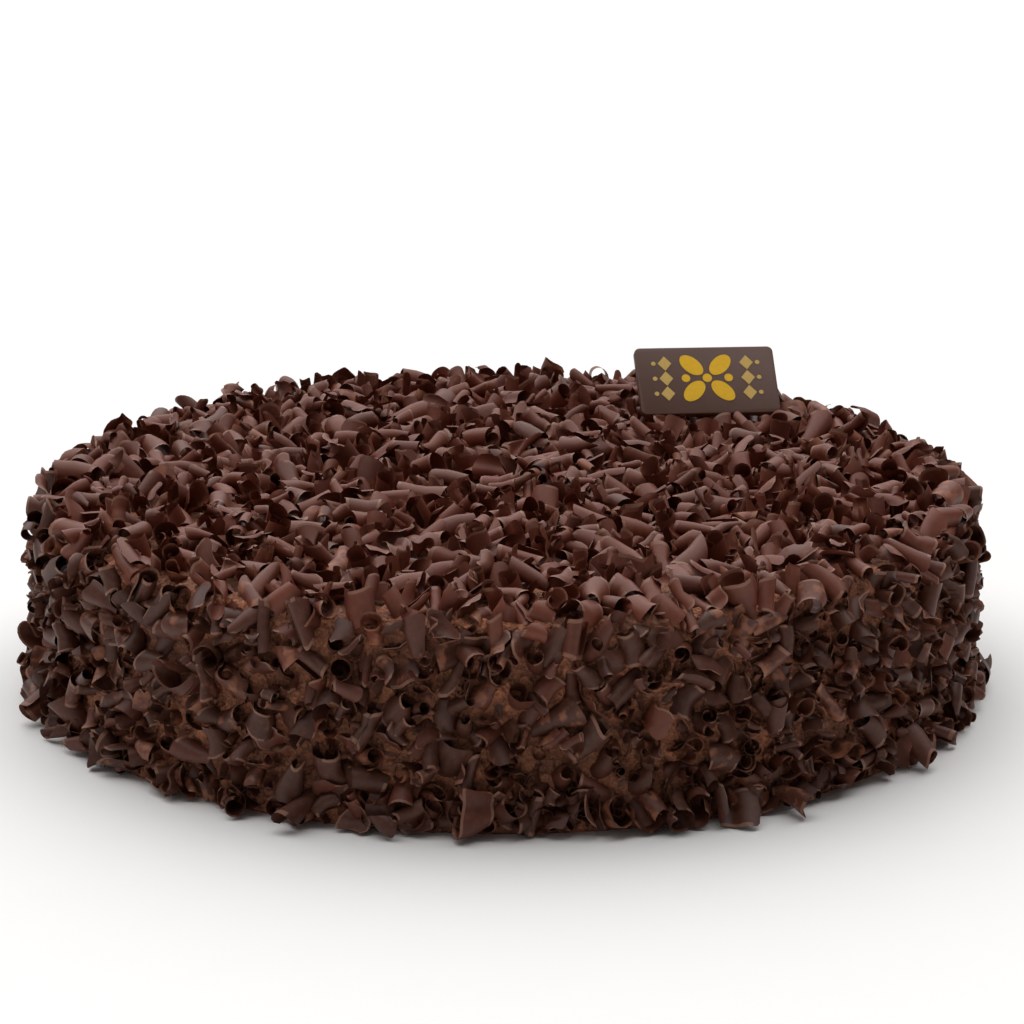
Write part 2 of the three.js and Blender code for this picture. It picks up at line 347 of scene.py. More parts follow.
NOISE, RANGE = "ShaderNodeTexNoise", "ShaderNodeMapRange"
MATH, BUMP = "ShaderNodeMath", "ShaderNodeBump"
# A node that mixes colours, and its sockets for the factor, the first and the second colour
MIX = {"kind": "ShaderNodeMix", "data_type": "RGBA", "result": 2}
BLEND = (0, 6, 7)


def add_node(tree, kind, feeds=(), result=0, **settings):
    """Adds a node with its settings and constants, and gives its result. `feeds` pairs sockets
    with the outputs that are linked to them, or with more constants."""
    node = tree.nodes.new(kind)
    for name, value in settings.items():
        if hasattr(node, name):
            setattr(node, name, value)
        else:
            node.inputs[name.replace("_", " ")].default_value = value
    for socket, source in feeds:
        if isinstance(source, bpy.types.NodeSocket):
            tree.links.new(source, node.inputs[socket])
        else:
            node.inputs[socket].default_value = source
    return node.outputs[result] if node.outputs else None


def new_material(name):
    """A material, what adds nodes to it, and the feed of its patterns: the place on the piece."""
    material = bpy.data.materials.new(name)
    material.use_nodes = True
    material.node_tree.nodes.clear()
    add = partial(add_node, material.node_tree)
    return material, add, [("Vector", add("ShaderNodeTexCoord", result="Object"))]


def finish_material(add, ior, *looks):
    """Ends a material with its colour, its roughness and, where it has one, its bump."""
    feeds = zip(("Base Color", "Roughness", "Normal"), looks)
    shader = add("ShaderNodeBsdfPrincipled", feeds, IOR=ior)
    add("ShaderNodeOutputMaterial", [("Surface", shader)])


def shade(colour, strength=1.0):
    """The colour as a node takes it, made darker or brighter."""
    return (*(c * strength for c in colour[:3]), 1.0)


def shaved_chocolate(settings, cream_colour):
    """Dark chocolate planed into curls: satin outside with faint blade marks, almost black inside.
    Broken edges are painted paler as a highlight, and each curl's random tone is painted lighter on
    top and darker on the side as painted light and shade."""
    material, add, place = new_material("dark chocolate, planed into curls")
    tone_and_shade, cut, smear = (
        add("ShaderNodeAttribute", result="Fac", attribute_name=name)
        for name in ("tone_and_shade", "cut", "smear")
    )
    dark, bright, pale = shade(settings.dark), shade(settings.colour), shade(settings.cut)
    body = add(feeds=zip(BLEND, (tone_and_shade, dark, bright)), **MIX)
    # Cocoa butter mottling about 1.5 mm wide
    mottle = add(NOISE, place, Scale=650.0, Detail=3.0)
    lighter = add(RANGE, [("Value", mottle)], From_Min=0.45, From_Max=0.75, To_Max=0.15)
    body = add(feeds=zip(BLEND, (lighter, body, pale)), **MIX)
    # Painted highlight: the broken edges are made paler
    edge = add(MATH, [(0, cut), (1, 0.75)], operation="MULTIPLY")
    body = add(feeds=zip(BLEND, (edge, body, pale)), **MIX)
    # Cream left on a curl in patches about 3 mm wide
    patch = add(NOISE, place, Scale=320.0, Detail=2.0)
    reach = add(MATH, [(0, patch), (1, smear)], operation="ADD")
    smeared = add(RANGE, [("Value", reach)], From_Min=1.02, From_Max=1.16, To_Max=0.6)
    colour = add(feeds=zip(BLEND, (smeared, body, shade(cream_colour))), **MIX)
    # Blade marks and grain, really under 0.1 mm, drawn 0.4 mm wide so that they show
    grain = add(NOISE, place, Scale=2400.0, Detail=2.0)
    bump = add(BUMP, [("Height", grain)], Distance=0.0001, Strength=0.25)
    rough = add(RANGE, [("Value", mottle)], To_Min=0.40, To_Max=0.62)
    finish_material(add, 1.415, colour, rough, bump)
    return material


def cocoa_cream(settings):
    """Whipped cocoa cream roughly spread with a palette knife: quite matt, with pulled crumbs of
    foam, reddish brown where it is thick, with painted shade darkening the small holes of the foam."""
    material, add, place = new_material("cocoa cream, spread")
    thin, thick, pit_shade = (shade(settings.colour, strength) for strength in (0.78, 1.3, 0.45))
    # Foam pulled up in crumbs of 2 to 3 mm
    foam = add(NOISE, place, Scale=330.0, Detail=5.0, Roughness=0.6)
    depth = add(RANGE, [("Value", foam)], From_Min=0.36, From_Max=0.6)
    # Thick and thin places about 15 mm wide
    coat = add(NOISE, place, Scale=65.0, Detail=1.0)
    fullness = add(RANGE, [("Value", coat)], From_Min=0.4, From_Max=0.62)
    spread = add(feeds=zip(BLEND, (fullness, thin, thick)), **MIX)
    # Painted shade: the low places of the foam are darkened
    colour = add(feeds=zip(BLEND, (depth, pit_shade, spread)), **MIX)
    # Air bubbles of about 1 mm
    bubbles = add("ShaderNodeTexVoronoi", place, "Distance", Scale=900.0)
    height = add(MATH, [(0, foam), (1, bubbles)], operation="ADD")
    bump = add(BUMP, [("Height", height)], Distance=0.001, Strength=0.9)
    finish_material(add, 1.45, colour, 0.72, bump)
    return material


def moulded_chocolate(settings):
    """Tempered chocolate set in a flat mould: even brown with a soft sheen and a faint bloom."""
    material, add, place = new_material("dark chocolate, moulded plate")
    darker, full = shade(settings.colour, 0.86), shade(settings.colour)
    # Fat bloom in clouds about 6 mm wide
    bloom = add(NOISE, place, Scale=160.0, Detail=4.0)
    colour = add(feeds=zip(BLEND, (bloom, darker, full)), **MIX)
    rough = add(RANGE, [("Value", bloom)], To_Min=0.34, To_Max=0.50)
    bump = add(BUMP, [("Height", bloom)], Distance=0.0002, Strength=0.35)
    finish_material(add, 1.455, colour, rough, bump)
    return material


def printed_cocoa_butter(name, colour):
    """Coloured cocoa butter screened on the plate: opaque, slightly uneven, soft gloss."""
    material, add, place = new_material(name)
    # Uneven screening in spots of about 1 mm
    spots = add(NOISE, place, Scale=1000.0, Detail=2.0)
    tint = add(feeds=zip(BLEND, (spots, shade(colour, 0.82), shade(colour))), **MIX)
    finish_material(add, 1.36, tint, 0.42)
    return material


def table_top(settings):
    """Matt painted board, evenly pale."""
    material, add, place = new_material("painted board, matt")
    # The faintest clouds, about 17 mm wide
    fleck = add(NOISE, place, Scale=60.0, Detail=3.0)
    cloud, plain = shade(settings.floor, 0.985), shade(settings.floor)
    tint = add(feeds=zip(BLEND, (fleck, cloud, plain)), **MIX)
    finish_material(add, 1.45, tint, 0.8)
    return material


# ------ making pieces


def shown(name, data):
    """An object of the scene, at the origin."""
    made = bpy.data.objects.new(name, data)
    bpy.context.scene.collection.objects.link(made)
    return made


def object_from(mesh, name, material):
    """A piece that shows this mesh, on the cake's body."""
    piece = shown(name, mesh)
    mesh.materials.append(material)
    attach(piece, "root")
    return piece


def object_from_bmesh(bm, name, material, smooth_angle):
    """The same from a bmesh in millimetres, which is used up."""
    bmesh.ops.scale(bm, vec=(MM, MM, MM), verts=bm.verts[:])
    bmesh.ops.recalc_face_normals(bm, faces=bm.faces[:])
    mesh = bpy.data.meshes.new(name)
    bm.to_mesh(mesh)
    bm.free()
    mesh.shade_smooth()
    mesh.set_sharp_from_angle(angle=math.radians(smooth_angle))
    return object_from(mesh, name, material)


def draw(index, use):
    """An irregular number from 0 to 1, the same each time for one index and one use."""
    wave = math.sin(index * SCRAMBLE[0] + use * SCRAMBLE[1]) * SCRAMBLE[2]
    return wave - math.floor(wave)


def place_on(surface, share, bearing):
    """The place with this share of the surface between it and the middle of the top: point,
    direction out of the cake, direction round it, and turn from level to upright."""
    top_area, shoulder_area, side_area = surface.areas
    area = share * (top_area + shoulder_area + side_area)
    if area > top_area + shoulder_area:
        height = surface.ledge * (1 - (area - top_area - shoulder_area) / side_area)
        radius = surface.radius + surface.spread * (1 - height / surface.ledge)
        slope = QUARTER_TURN
    elif area > top_area:
        slope = (area - top_area) / shoulder_area * QUARTER_TURN
        radius = surface.flat + surface.shoulder * math.sin(slope)
        height = surface.ledge + surface.shoulder * math.cos(slope)
    else:
        radius = math.sqrt(2 * area)
        height = surface.height
        slope = 0.0
    cosine, sine = math.cos(bearing), math.sin(bearing)
    point = np.array([radius * cosine, radius * sine, height])
    outward = np.array([math.sin(slope) * cosine, math.sin(slope) * sine, math.cos(slope)])
    around = np.array([-sine, cosine, 0.0])
    return point, outward, around, slope


def any_place(surface, shares, rng):
    """A random place between these shares: point, outward direction, and one along the surface."""
    share = rng.uniform(*shares)
    point, outward, around, _ = place_on(surface, share, rng.uniform(0, FULL_TURN))
    return point, outward, level_way(outward, around, rng.uniform(0, FULL_TURN))


def arrays_from(bm):
    """Points and faces of a bmesh, which is used up."""
    bm.verts.index_update()
    points = np.array([v.co for v in bm.verts])
    faces = np.array([[v.index for v in face.verts] for face in bm.faces])
    bm.free()
    return points, faces


# ------ curls


def strip_section(bends, chance):
    """A bent strip seen along the roll, its hump towards +X: shares of it, and places there."""
    turns, strides = [], []
    for turn, *radii in bends:
        if turn:
            varied = math.radians(turn) * between(BEND_SCATTER, chance)
            turns.append(np.full(BEND_STEPS, varied / BEND_STEPS))
            strides.append(abs(varied) / BEND_STEPS * np.linspace(*radii, BEND_STEPS))
        else:
            turns.append(np.zeros(BEND_STEPS))
            strides.append(np.full(BEND_STEPS, radii[0] / BEND_STEPS))
    heading = np.cumsum(np.concatenate(turns))
    stride = np.concatenate(strides)
    walked = np.cumsum(stride) / stride.sum()
    heading += QUARTER_TURN - np.interp(0.5, walked, heading)
    x = np.cumsum(stride * np.cos(heading))
    y = np.cumsum(stride * np.sin(heading))
    return walked, x - (x.min() + x.max()) / 2, y - (y.min() + y.max()) / 2


def ripple(size, place, chance):
    height, waves = size
    return height * np.sin(place * waves + PHASE * chance)


def rolled(kind, a, b, variant):
    """Middle surface of a curl with its axis on Z: `a` runs from its outer edge inwards and `b`
    along its axis, both 0 to 1."""
    bend, ring, side, point, middle, coarse, fine, slant, creep, waist, flare, bow = (
        draw(variant, DRAW_SHAPE + k) for k in range(12)
    )
    walked, section_x, section_y = strip_section(kind.bends, bend)
    x = np.interp(a, walked, section_x)
    y = np.interp(a, walked, section_y)

    # The strip is narrower at its one end, and torn off unevenly
    fading = a if side < INNER_POINT_CHANCE else 1 - a
    width = 1 - kind.point * between(POINT_SCATTER, point) * fading**POINT_CURVE
    width = width * (1 - CORNER_LOSS * abs(2 * a - 1) ** CORNER_CURVE)
    centre = between(OFF_MIDDLE, middle) * SHAPE_LENGTH * (1 - width)
    torn = ripple(COARSE_TEAR, a, coarse) + ripple(FINE_TEAR, a, fine)
    end = np.abs(2 * b - 1) ** 2 * np.sign(b - 0.5)
    shear = end * between(SLANT, slant) + kind.creep * between((-1.0, 1.0), creep)
    z = (b - 0.5) * SHAPE_LENGTH * width + centre + end * torn + shear * (a - 0.5)

    # No hand-planed strip is an exact cylinder: it flares at one end and bows
    flared = 1 + ripple(WAIST_ALONG, b, waist) + ripple(WAIST_AROUND, a, ring) + FLARE * flare * b**2
    bowed = (2 * b - 1) ** 2
    x = x * flared + between(BOW_OUT, bow) * bowed
    y = y * flared + between(BOW_ASIDE, ring) * bowed
    return np.stack([x, y, z], -1)


class Shape(NamedTuple):
    """One torn shape of a kind of curl, ready to be copied."""

    points: np.ndarray
    faces: np.ndarray
    # Broken edges, which are painted paler as a highlight
    cut: np.ndarray  # for each face, whether it is a broken edge
    middle: np.ndarray  # closely spaced points of its middle surface


def curl_shape(kind, variant, wall):
    """A flat strip is divided, rolled up and given its thickness."""
    bm = bmesh.new()
    bmesh.ops.create_grid(bm, x_segments=kind.around, y_segments=kind.along, size=0.5)
    flat = np.array([v.co for v in bm.verts]) + 0.5
    for vert, point in zip(bm.verts, rolled(kind, flat[:, 0], flat[:, 1], variant)):
        vert.co = point
    sheet_size = len(bm.verts)
    thickness = wall * SHAPE_RADIUS / between(kind.radius, 0.5)
    bmesh.ops.solidify(bm, geom=bm.verts[:] + bm.edges[:] + bm.faces[:], thickness=thickness)
    bmesh.ops.recalc_face_normals(bm, faces=bm.faces[:])
    points, faces = arrays_from(bm)
    on_sheet = faces < sheet_size
    # The broken edges, which get the painted highlight
    cut = on_sheet.any(1) & ~on_sheet.all(1)
    columns = np.linspace(0, 1, MIDDLE_COLUMNS * kind.around)
    a, b = np.meshgrid(columns, np.linspace(0, 1, MIDDLE_ROWS))
    return Shape(points, faces, cut, rolled(kind, a.ravel(), b.ravel(), variant))


class Lie(NamedTuple):
    """How one curl is made from its shape and where it lies."""

    kind: str
    variant: int
    radius: float
    length: float
    taper: float
    turn: float  # of its opening about its own axis
    tilt: float = 0.0  # of its axis out of the surface
    cross: float = 0.0  # about its own axis once it lies down
    lift: float = 0.0  # along the outward direction
    point: np.ndarray = None
    outward: np.ndarray = None
    along: np.ndarray = None


def lie_down(points, middle, lie):
    """Points of a shape, carried to where the curl lies on the lowest line of its `middle`."""
    thick = lie.radius / SHAPE_RADIUS
    opening = turning(lie.turn)
    lowest = ((middle[:, :2] @ opening)[:, 0] * thick).min()
    local = np.empty_like(points)
    local[:, :2] = points[:, :2] @ opening * thick
    local[:, 0] -= lowest
    local[:, 2] = points[:, 2] * lie.length / SHAPE_LENGTH
    narrowed = 1 - lie.taper * (local[:, 2:] / lie.length + 0.5)
    local[:, :2] *= narrowed
    local[:, :2] = local[:, :2] @ turning(lie.cross)
    x, z = (local[:, ::2] @ turning(-lie.tilt)).T
    beside = np.cross(lie.along, lie.outward)
    return (
        lie.point
        + np.outer(x + lie.lift, lie.outward)
        + np.outer(local[:, 1], beside)
        + np.outer(z, lie.along)
    )


class Coat:
    """How far the chocolate already stands out over each square millimetre of the cream."""

    def __init__(self, cream):
        self.cream = cream
        self.half = int(cream.flat) + COAT_MARGIN
        self.width = 2 * self.half + 1
        self.turns = int(FULL_TURN * cream.radius)
        self.bend = cream.shoulder * QUARTER_TURN
        self.rows = int(self.bend + cream.height) + COAT_MARGIN + 1
        top = np.full(self.width**2, -COAT_TOP_SINK)
        side = np.full(self.turns * self.rows, -COAT_SIDE_SINK)
        self.stands = np.concatenate([top, side])

    def under(self, points):
        """The square under each point, and the point's distance out of the cream."""
        x, y, z = points.T
        out = np.hypot(x, y)
        flat, ledge = self.cream.flat, self.cream.ledge
        top_square = (np.rint(x) + self.half) * self.width + np.rint(y) + self.half

        above = z > ledge
        bearing = np.arctan2(y, x)
        turned = np.arctan2(np.maximum(out - flat, 0), np.maximum(z - ledge, 1e-6))
        down = np.where(above, turned * self.cream.shoulder, self.bend + ledge - z)
        row = np.clip(np.rint(down), 0, self.rows - 1)
        column = np.rint(bearing / FULL_TURN * self.turns) % self.turns
        side_square = self.width**2 + row * self.turns + column

        past_shoulder = np.hypot(out - flat, z - ledge) - self.cream.shoulder
        side_rise = np.where(above, past_shoulder, out - self.cream.radius)
        on_top = out < flat
        square = np.where(on_top, top_square, side_square).astype(int)
        return square, np.where(on_top, z - self.cream.height, side_rise)

    def add(self, points):
        square, rise = self.under(points)
        np.maximum.at(self.stands, square, rise)


def plate_matrix(settings):
    """From the plate's own frame, lower edge on X and face to +Z, to its place, in millimetres."""
    stand = Matrix.Translation(Vector(settings.foot) / MM) @ Matrix.Rotation(settings.yaw, 4, "Z")
    leaning = Matrix.Rotation(QUARTER_TURN - settings.lean, 4, "X")
    return stand @ leaning @ Matrix.Rotation(settings.roll, 4, "Z")


class PlateSpace:
    """The space of the plaque, which the curls keep out of."""

    def __init__(self, settings):
        self.foot = np.array(settings.foot) / MM
        self.across = np.array([math.cos(settings.yaw), math.sin(settings.yaw), 0])
        self.foot_half = settings.width / MM / 2
        self.inverse = np.array(plate_matrix(settings).inverted())
        self.half_width = self.foot_half + PLATE_CLEARANCE
        self.height = settings.height / MM + PLATE_CLEARANCE
        self.half_depth = settings.thickness / MM / 2 + PLATE_CLEARANCE

    def reach_to_foot(self, points):
        """Level distance from the middle of the points' box to the plaque's foot line."""
        gap = (points.min(0) + points.max(0)) / 2 - self.foot
        gap -= self.across * np.clip(gap @ self.across, -self.foot_half, self.foot_half)
        return math.hypot(gap[0], gap[1])

    def holds_any(self, points):
        x, y, z = (points @ self.inverse[:3, :3].T + self.inverse[:3, 3]).T
        inside = (np.abs(x) < self.half_width) & (np.abs(z) < self.half_depth)
        return bool((inside & (y > -PLATE_FOOT_MARGIN) & (y < self.height)).any())


def large_lie(index):
    """Large curl number `index`, as the CAD solid has it."""
    kind = LARGE_ORDER[index % len(LARGE_ORDER)]
    radii, lengths, tapers = LARGE[kind]
    rank = index + 0.5 + (draw(index, DRAW_RANK) - 0.5) * LARGE_RANK_SCATTER
    bearing = index * GOLDEN_ANGLE + (draw(index, DRAW_BEARING) - 0.5) * LARGE_BEARING_SCATTER
    share = min(max(rank / LARGE_COUNT, 0), 1)
    point, outward, around, slope = place_on(BED, share, bearing)
    upright = 1 - math.cos(slope)
    tilt = between(LARGE_TILT, upright) * draw(index, DRAW_TILT)
    sink = between(LARGE_SINK, upright) + LARGE_SHOULDER_SINK * math.sin(2 * slope)
    length = between(lengths, draw(index, DRAW_LENGTH))
    if kind in FLAT_KINDS:
        turn = (draw(index, DRAW_TURN) - 0.5) * LARGE_FLAT_TURN
    else:
        turn = draw(index, DRAW_TURN) * FULL_TURN
    return Lie(
        kind=kind,
        variant=index % VARIANTS,
        radius=between(radii, draw(index, DRAW_RADIUS)),
        length=length,
        taper=between(tapers, draw(index, DRAW_TAPER)),
        turn=turn,
        tilt=tilt,
        lift=length / 2 * math.sin(tilt) - sink,
        point=point,
        outward=outward,
        along=level_way(outward, around, draw(index, DRAW_HEADING) * FULL_TURN),
    )


def carrier_lies(settings):
    """The curls that carry the plaque, as the CAD solid has them."""
    yawing = np.array(Matrix.Rotation(settings.yaw, 3, "Z"))
    back = (0, math.cos(settings.lean), -math.sin(settings.lean))
    lies = []
    for number, (middle, axis, length, radius) in enumerate(CARRIERS):
        along = yawing @ np.array(axis or back, float)
        along /= np.linalg.norm(along)
        outward = np.cross(np.cross(along, (0, 0, 1)), along)
        outward /= np.linalg.norm(outward)
        point = np.array(settings.foot) / MM + yawing @ np.array(middle) - outward * radius
        length -= 0.0 if axis else CARRIER_SPARE
        lies.append(Lie("roll", number, radius, length, 0.0, 0.0, 0.0, 0.0, 0.0, point, outward, along))
    return lies


def raised_clear(lie, points, clearance):
    """The curl moved up until no part of it is lower than the clearance."""
    short = clearance - points[:, 2].min()
    if short <= 0:
        return lie, points
    up = np.array([0.0, 0.0, short])
    return lie._replace(point=lie.point + up), points + up


class Bed(NamedTuple):
    """How the small curls lie on one part of the cake."""

    shares: tuple  # of the curled surface, where this part starts and ends
    lean: float  # spread of the tilt beyond that of what lies below, in radians
    standing: float  # share of the curls that stand on end
    limit: float  # how far they stand out of the cream
    stray: tuple  # how much further than that one may, on average and at most
    press: float  # how far they may be pressed in among the others
    tries: int  # places looked at for each: more of them cover the cream more evenly
    stretch: float  # of their length


def settle(coat, shapes, plate, rng, bed, size):
    """One small curl, dropped on the thinnest of a few places and leaning on what lies there, or
    None when it finds no room."""
    odds = np.array([kind.share for kind in KINDS])
    kind = KINDS[rng.choice(len(KINDS), p=odds / odds.sum())]
    variant = int(rng.integers(VARIANTS))
    shape = shapes[kind.name, variant]
    flat = kind.name in FLAT_KINDS
    hump = rng.normal(0, HUMP_SCATTER) + (math.pi if rng.random() < HUMP_DOWN_CHANCE else 0)
    curl = Lie(
        kind=kind.name,
        variant=variant,
        radius=rng.uniform(*kind.radius) * size,
        length=rng.uniform(*kind.length) * size * bed.stretch,
        taper=rng.uniform(*kind.taper),
        turn=hump if flat else rng.uniform(0, FULL_TURN),
    )

    trials = []
    for _ in range(bed.tries):
        point, outward, along = any_place(coat.cream, bed.shares, rng)
        trial = curl._replace(point=point, outward=outward, along=along)
        square, _ = coat.under(lie_down(shape.middle, shape.middle, trial))
        trials.append((coat.stands[square].mean(), trial, square))
    _, curl, square = min(trials, key=lambda trial: trial[0])

    # Lean on what lies under each end
    reach = shape.middle[:, 2]
    stands = coat.stands[square]
    far_end = stands[reach > np.quantile(reach, 1 - END_PART)].mean()
    near_end = stands[reach < np.quantile(reach, END_PART)].mean()
    lean = bed.lean * (FLAT_LEAN if flat else 1.0)
    tilt = math.atan2(far_end - near_end, curl.length * ARM) + rng.normal(0, lean)
    press = bed.press
    if rng.random() < bed.standing and not (flat and curl.outward[2] > STEEP):
        tilt = rng.choice([-1, 1]) * rng.uniform(*STANDING_TILT)
        press += curl.length / STANDING_PRESS
    tilt = float(np.clip(tilt, -STEEPEST_TILT, STEEPEST_TILT))
    curl = curl._replace(tilt=tilt, cross=rng.normal(0, lean) if flat else 0.0)

    points = lie_down(shape.middle, shape.middle, curl)
    square, rise = coat.under(points)
    level = (points - curl.point) @ curl.outward
    below = level < np.quantile(level, UNDER_PART)
    lift = float(np.quantile((coat.stands[square] - rise)[below], REST_PART))
    limit = bed.limit + min(rng.exponential(bed.stray[0]), bed.stray[1])
    lift -= max(0.0, min(press, rise.max() + lift - limit))
    curl = curl._replace(lift=lift)
    points = points + curl.outward * lift
    curl, points = raised_clear(curl, points, SMALL_FOOT_CLEARANCE)
    _, rise = coat.under(points)
    if rise.max() > limit + LIMIT_SLACK or plate.holds_any(points):
        return None
    coat.add(points)
    return curl


def lay_curls(settings, cream, plaque):
    """Every curl of the coat: the large ones of the CAD solid, then the small ones round them."""
    wall = settings.wall / MM
    shapes = {
        (kind.name, variant): curl_shape(kind, variant, wall)
        for kind in KINDS
        for variant in range(VARIANTS)
    }
    coat = Coat(cream)
    plate = PlateSpace(plaque)
    lies = []
    # Only the carriers may lie near the plaque's foot
    spaced = [(large_lie(index), CLEAR_OF_PLAQUE) for index in range(LARGE_COUNT)]
    for lie, gap in spaced + [(lie, 0) for lie in carrier_lies(plaque)]:
        middle = shapes[lie.kind, lie.variant].middle
        lie, points = raised_clear(lie, lie_down(middle, middle, lie), FOOT_CLEARANCE)
        if plate.reach_to_foot(points) > gap:
            coat.add(points)
            lies.append(lie)

    top_area, *side_areas = cream.areas
    top_share = top_area / (top_area + sum(side_areas))
    top = Bed(
        (0.0, top_share + TOP_END),
        lean=0.5, standing=0.16, limit=6.8, stray=(0.8, 3.5), press=2.0, tries=8, stretch=0.94,
    )
    rim = Bed(
        (top_share + RIM_BAND[0], top_share + RIM_BAND[1]),
        lean=0.4, standing=0.3, limit=4.8, stray=(0.8, 3.0), press=2.0, tries=4, stretch=0.95,
    )
    side = Bed(
        (top_share + SIDE_START, 1.0),
        lean=0.5, standing=0.45, limit=5.6, stray=(0.8, 3.5), press=3.0, tries=5, stretch=0.85,
    )
    foot = Bed(
        (FOOT_START, 1.0),
        lean=0.5, standing=0.35, limit=7.6, stray=(2.1, 6.0), press=1.0, tries=8, stretch=0.95,
    )
    rng = np.random.default_rng(settings.seed)
    # Each group with its size, as shares of the usual one
    for bed, count, sizes in (
        (top, settings.top_count, (1.08, 1.52)),
        (rim, settings.rim_count, (1.1, 1.5)),
        (side, settings.side_count, (1.05, 1.6)),
        (foot, settings.foot_count, (1.2, 1.7)),
        (top, settings.top_count // FINE_PART, (0.65, 0.95)),
        (side, settings.side_count // FINE_PART, (0.55, 0.9)),
    ):
        for _ in range(count):
            lie = settle(coat, shapes, plate, rng, bed, rng.uniform(*sizes))
            if lie:
                lies.append(lie)
    return lies, shapes, coat, rng


class Heap:
    """Closed bits of chocolate that become one piece."""

    def __init__(self, name):
        self.name = name
        self.bodies = []
        self.values = {"tone_and_shade": [], "smear": [], "cut": []}

    def add(self, points, faces, tone_and_shade, smear, cut):
        """A bit in one tone, which for a curl also holds painted light or shade, and one smear of
        cream. The last argument has, for each face, how much painted highlight it gets.
        """
        self.bodies.append((points, faces))
        self.values["tone_and_shade"].append(np.full(len(points), tone_and_shade))
        self.values["smear"].append(np.full(len(points), smear))
        self.values["cut"].append(np.repeat(cut, faces.shape[1]))

    def make_piece(self, material):
        starts = np.cumsum([0] + [len(points) for points, _ in self.bodies[:-1]])
        points = np.concatenate([points for points, _ in self.bodies]) * MM
        faces = np.concatenate([faces + start for start, (_, faces) in zip(starts, self.bodies)])
        mesh = bpy.data.meshes.new(self.name)
        mesh.from_pydata(points, [], faces)
        mesh.shade_smooth()
        mesh.set_sharp_from_angle(angle=SHARP_EDGE)
        for label, values in self.values.items():
            layer = mesh.attributes.new(label, "FLOAT", "CORNER" if label == "cut" else "POINT")
            layer.data.foreach_set("value", np.concatenate(values).astype(np.float32))
        mesh.update()
        piece = object_from(mesh, self.name, material)
        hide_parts("cake")


def add_crumbs(settings, coat, material, rng):
    """Splinters and grains broken off the curls, on whatever lies under them."""
    bm = bmesh.new()
    bmesh.ops.create_icosphere(bm, subdivisions=1, radius=0.5)
    grain, faces = arrays_from(bm)
    heap = Heap("crumbs")
    for _ in range(settings.crumb_count):
        point, outward, along = any_place(coat.cream, CRUMB_SHARES, rng)
        along += outward * rng.normal(0, CRUMB_TILT)
        along /= np.linalg.norm(along)
        beside = np.cross(along, outward)
        beside /= np.linalg.norm(beside)
        facing = np.cross(beside, along)
        size = np.array([rng.uniform(*span) for span in CRUMB_SIZE])
        dents = rng.uniform(-CRUMB_DENT, CRUMB_DENT, (len(grain), 1))
        local = grain * (1 + dents) * size
        square, _ = coat.under(point[None])
        below = coat.stands[square][0]
        if below > CRUMB_CEILING:
            continue
        rest = max(below, CRUMB_FLOOR) + CRUMB_RISE
        placed = point + outward * rest + local @ np.stack([facing, beside, along])
        placed[:, 2] += max(0.0, FOOT_CLEARANCE - placed[:, 2].min())
        heap.add(placed, faces, rng.uniform(*CRUMB_TONE), 0.0, np.full(len(faces), CRUMB_EDGE_HIGHLIGHT))
    heap.make_piece(material)


# ------ plaque


def add_plate(settings):
    width, height = settings.width / MM, settings.height / MM
    thickness, corner = settings.thickness / MM, settings.corner / MM
    bm = bmesh.new()
    bmesh.ops.create_cube(bm, size=1)
    bmesh.ops.scale(bm, vec=(width, height, thickness), verts=bm.verts[:])
    bmesh.ops.translate(bm, vec=(0, height / 2, 0), verts=bm.verts[:])
    # The corners first, and then the edges round both faces
    for level, offset, segments in ((False, corner, 7), (True, 0.32, 3)):
        ends = ((edge, [vert.co.z for vert in edge.verts]) for edge in bm.edges)
        geom = [edge for edge, (z, far_z) in ends if (abs(z - far_z) < thickness / 2) == level]
        bmesh.ops.bevel(
            bm, geom=geom, offset=offset, segments=segments, profile=0.5, affect="EDGES",
            material=-1,
        )
    bmesh.ops.transform(bm, matrix=plate_matrix(settings), verts=bm.verts[:])
    material = moulded_chocolate(settings)
    piece = object_from_bmesh(bm, "plaque_plate", material, 50)
    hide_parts("plaque")


def add_spot(bm, spot, offset, turn=0.0):
    """One low raised spot of print: an oval, or a lozenge when it has four corners."""
    made = bmesh.ops.create_circle(bm, cap_ends=True, segments=spot.corners, radius=1)["verts"]
    place = Matrix.Translation((*(PRINT_MIDDLE + offset), -PRINT_DEPTH))
    place = place @ Matrix.Rotation(turn, 4, "Z") @ Matrix.Diagonal((*spot.radii, 1, 1))
    bmesh.ops.transform(bm, matrix=place, verts=made)
    raised = bmesh.ops.extrude_face_region(bm, geom=made[0].link_faces[:])["geom"]
    top = [part for part in raised if isinstance(part, bmesh.types.BMVert)]
    bmesh.ops.translate(bm, vec=(0, 0, PRINT_THICKNESS), verts=top)


def add_print(settings):
    """A four-petalled flower between two columns of lozenges and dots."""
    bold = bmesh.new()
    for k in range(4):
        turn = math.radians(45 + 90 * k)
        way = Vector((math.cos(turn), math.sin(turn)))
        add_spot(bold, PETAL, way * PETAL.reach, turn)
    add_spot(bold, HEART, Vector((0, 0)))
    fine = bmesh.new()
    for side in (-1, 1):
        add_spot(bold, BERRY, Vector((side * BERRY.reach, 0)))
        for row in (-1, 0, 1):
            for spot in (LOZENGE, DOT):
                add_spot(fine, spot, Vector((side * spot.reach, row * PRINT_ROW)))
    lift = settings.thickness / MM / 2
    prints = ((bold, "print_bold", settings.yellow), (fine, "print_fine", settings.gold))
    for bm, name, colour in prints:
        bmesh.ops.translate(bm, vec=(0, 0, lift), verts=bm.verts[:])
        bmesh.ops.transform(bm, matrix=plate_matrix(settings), verts=bm.verts[:])
        material = printed_cocoa_butter("coloured cocoa butter, " + name, colour)
        piece = object_from_bmesh(bm, name, material, 40)
        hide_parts("plaque")


# ------ operators


